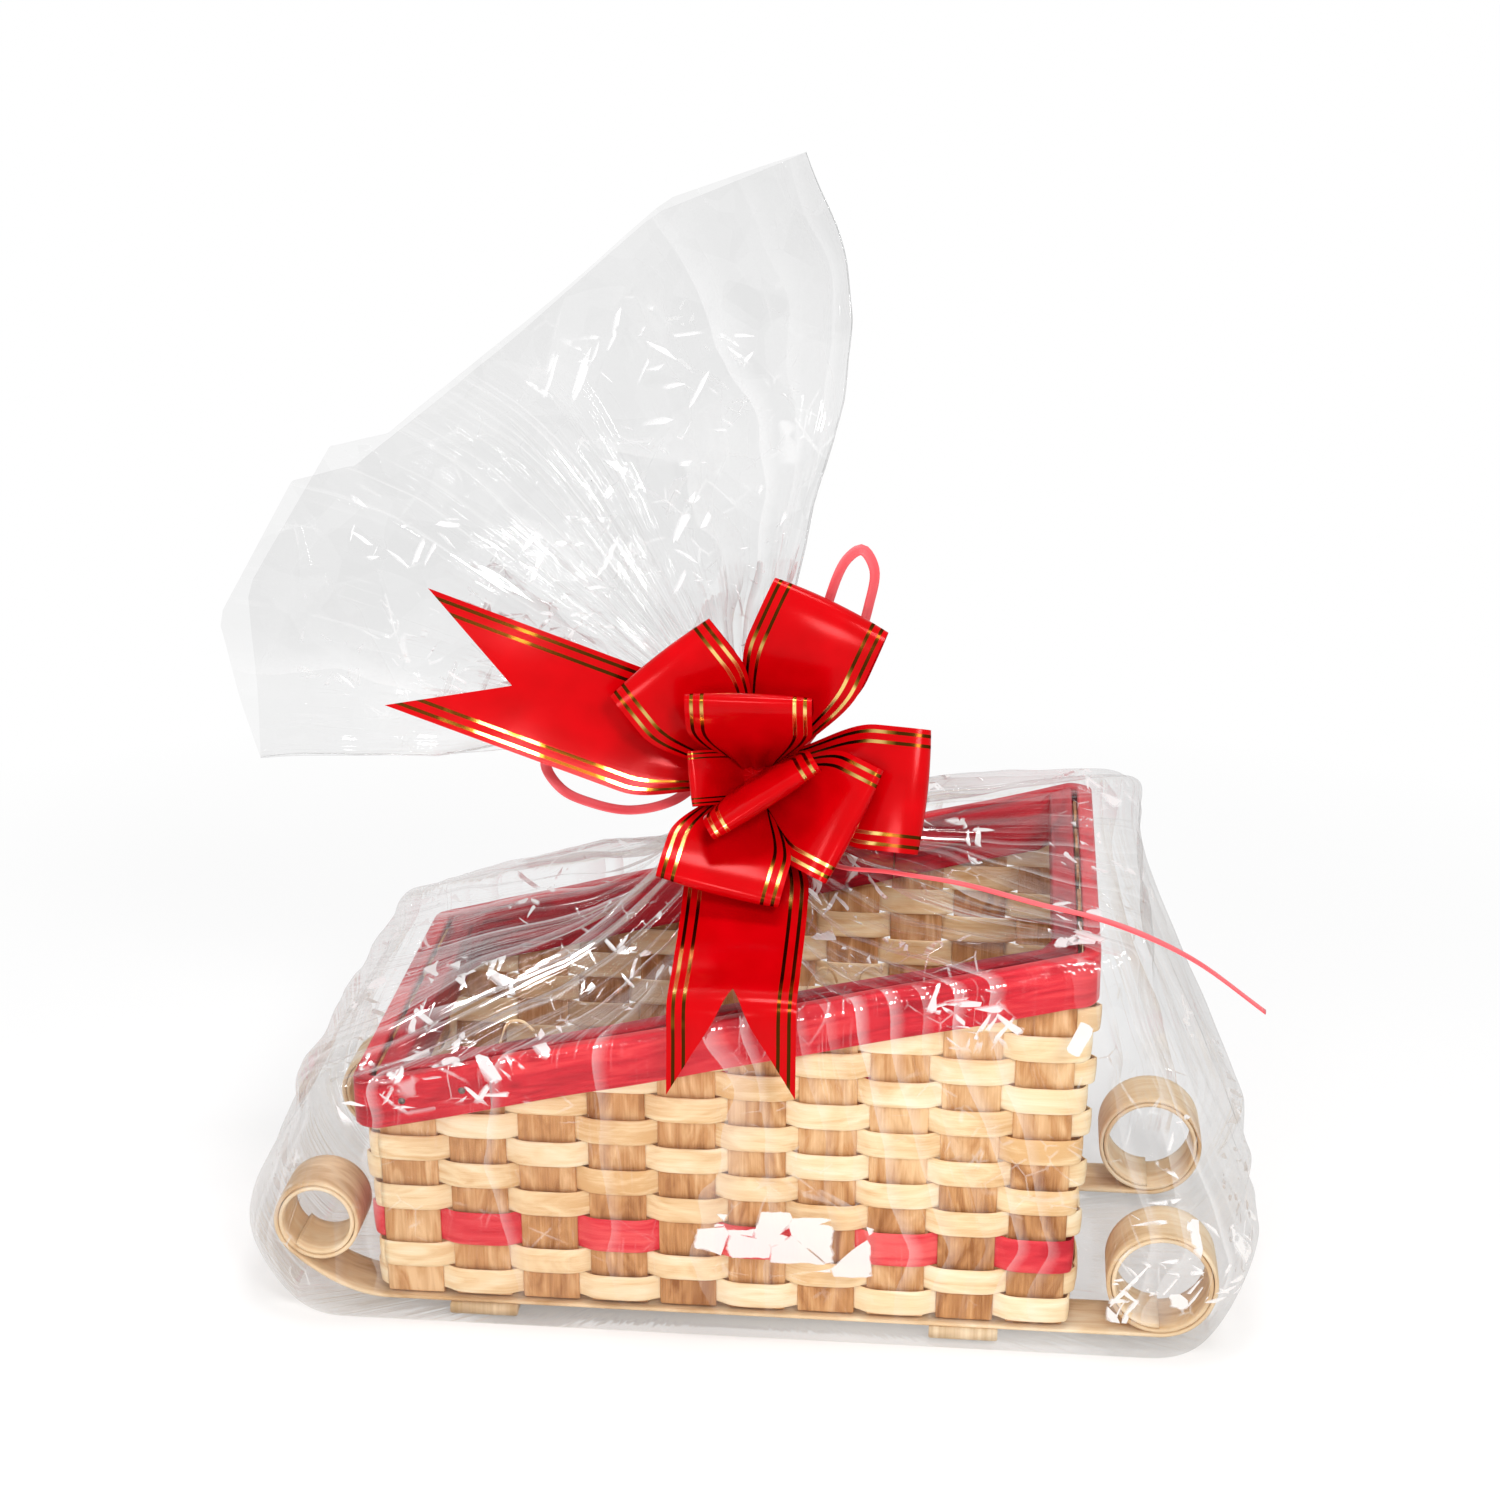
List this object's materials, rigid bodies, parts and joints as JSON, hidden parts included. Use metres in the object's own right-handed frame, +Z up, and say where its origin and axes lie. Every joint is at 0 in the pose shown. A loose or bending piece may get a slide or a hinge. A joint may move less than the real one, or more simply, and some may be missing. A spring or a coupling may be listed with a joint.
{
  "type": "wicker gift hamper",
  "caption": "Sleigh-shaped splint basket with a sloping red rim and curled runners, wrapped in a clear film bag gathered at a neck and tied with a ribbon bow",
  "frame": {"origin": "on the surface that the hamper stands on, under the middle of the basket's base", "axes": "+Z up, +X along the basket towards its high end, +Y from the front with the bow to the back"},
  "size_m": [0.4288, 0.2334, 0.4681],
  "materials": {
    "stake_splint": "matt",
    "weaver_splint": "matt",
    "red_splint": "stained matt",
    "rim_wood": "stained satin",
    "runner_wood": "matt",
    "batten_wood": "matt",
    "clear_film": "clear gloss",
    "bow_ribbon": "satin with metallic stripes",
    "tie_ribbon": "satin"
  },
  "bodies": {
    "root": {"batten_high_end": "batten_wood", "batten_low_end": "batten_wood", "bow_core": "bow_ribbon", "bow_loop_bottom": "bow_ribbon", "bow_loop_front": "bow_ribbon", "bow_loop_left": "bow_ribbon", "bow_loop_lower_right": "bow_ribbon", "bow_loop_right": "bow_ribbon", "bow_loop_top": "bow_ribbon", "bow_loop_top_right": "bow_ribbon", "bow_loop_upper_left": "bow_ribbon", "bow_tail_front": "bow_ribbon", "bow_tail_side": "bow_ribbon", "cross_stake_1": "stake_splint", "cross_stake_10": "stake_splint", "cross_stake_2": "stake_splint", "cross_stake_3": "stake_splint", "cross_stake_4": "stake_splint", "cross_stake_5": "stake_splint", "cross_stake_6": "stake_splint", "cross_stake_7": "stake_splint", "cross_stake_8": "stake_splint", "cross_stake_9": "stake_splint", "film_bag": "clear_film", "long_stake_1": "stake_splint", "long_stake_2": "stake_splint", "long_stake_3": "stake_splint", "long_stake_4": "stake_splint", "long_stake_5": "stake_splint", "neck_tie": "tie_ribbon", "rim_inner_band": "rim_wood", "rim_outer_band": "rim_wood", "runner_back": "runner_wood", "runner_front": "runner_wood", "tie_ribbon_lower_loop": "tie_ribbon", "tie_ribbon_tail": "tie_ribbon", "tie_ribbon_upper_loop": "tie_ribbon", "weaver_row_1": "weaver_splint", "weaver_row_10": "weaver_splint", "weaver_row_11": "weaver_splint", "weaver_row_12": "weaver_splint", "weaver_row_13": "weaver_splint", "weaver_row_2": "weaver_splint", "weaver_row_3_red": "red_splint", "weaver_row_4": "weaver_splint", "weaver_row_5": "weaver_splint", "weaver_row_6": "weaver_splint", "weaver_row_7": "weaver_splint", "weaver_row_8": "weaver_splint", "weaver_row_9": "weaver_splint"}
  },
  "joints": []
}
